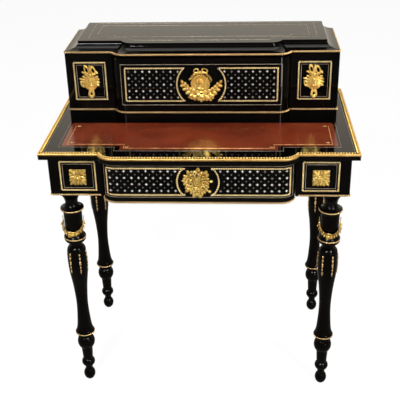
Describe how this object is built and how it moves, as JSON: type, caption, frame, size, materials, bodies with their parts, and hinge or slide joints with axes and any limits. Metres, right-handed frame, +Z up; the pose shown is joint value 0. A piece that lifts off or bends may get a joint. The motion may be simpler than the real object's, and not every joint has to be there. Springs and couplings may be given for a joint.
{
  "type": "writing desk",
  "caption": "Ebonised breakfront writing table on turned legs with a frieze drawer, leather top and a low upper case with a drawer, trimmed with gilt mouldings and pearl inlay.",
  "frame": {"origin": "on the floor, under the middle of the desk", "axes": "+X to the right as seen from the front, +Y from front to back, +Z up"},
  "size_m": [0.784, 0.496, 0.942],
  "materials": {
    "ebonised_wood": "polished",
    "lining_wood": "satin",
    "gilt_brass": "gilt, satin",
    "lock_brass": "aged",
    "steel": "dull",
    "leather": "worn, gold tooled"
  },
  "bodies": {
    "desk": {"table_top": "ebonised_wood", "leather_panel": "leather", "top_edge_moulding": "gilt_brass", "frieze_front_left": "ebonised_wood", "frieze_front_right": "ebonised_wood", "frieze_side_left": "ebonised_wood", "frieze_side_right": "ebonised_wood", "frieze_back": "ebonised_wood", "drawer_dividers": "lining_wood", "drawer_runners": "lining_wood", "corner_blocks": "lining_wood", "frieze_rope_left": "gilt_brass", "frieze_rope_right": "gilt_brass", "frieze_frames": "gilt_brass", "rosette_left": "gilt_brass", "rosette_right": "gilt_brass", "leg_front_left": "ebonised_wood", "leg_front_right": "ebonised_wood", "leg_back_left": "ebonised_wood", "leg_back_right": "ebonised_wood", "leg_brass_front_left": "gilt_brass", "leg_brass_front_right": "gilt_brass", "leg_brass_back_left": "gilt_brass", "leg_brass_back_right": "gilt_brass", "case_base": "ebonised_wood", "case_rope_lower": "gilt_brass", "case_rope_upper": "gilt_brass", "case_side_left": "ebonised_wood", "case_side_right": "ebonised_wood", "case_front_left": "ebonised_wood", "case_front_right": "ebonised_wood", "case_back": "ebonised_wood", "case_dividers": "lining_wood", "case_top_rail": "lining_wood", "case_cornice": "ebonised_wood", "case_top_panel": "ebonised_wood", "case_frames": "gilt_brass", "medallion_left": "gilt_brass", "medallion_right": "gilt_brass", "case_screws": "steel"},
    "frieze_drawer": {"drawer_front": "ebonised_wood", "drawer_sides": "lining_wood", "drawer_back": "lining_wood", "drawer_bottom": "lining_wood", "drawer_rope": "gilt_brass", "drawer_frames": "gilt_brass", "drawer_mount": "gilt_brass", "drawer_lock": "lock_brass"},
    "lock_bolt": {"drawer_bolt": "steel"},
    "case_drawer": {"case_drawer_front": "ebonised_wood", "case_drawer_sides": "lining_wood", "case_drawer_back": "lining_wood", "case_drawer_bottom": "lining_wood", "case_drawer_frames": "gilt_brass", "case_drawer_mount": "gilt_brass"}
  },
  "joints": [
    {"name": "frieze_drawer_slide", "type": "slide", "parent": "desk", "child": "frieze_drawer", "axis": [0, -1, 0], "range_m": [0, 0.25]},
    {"name": "case_drawer_slide", "type": "slide", "parent": "desk", "child": "case_drawer", "axis": [0, -1, 0], "range_m": [0, 0.13]},
    {"name": "lock_bolt_slide", "type": "slide", "parent": "frieze_drawer", "child": "lock_bolt", "axis": [0, 0, 1], "range_m": [0, 0.006]}
  ]
}
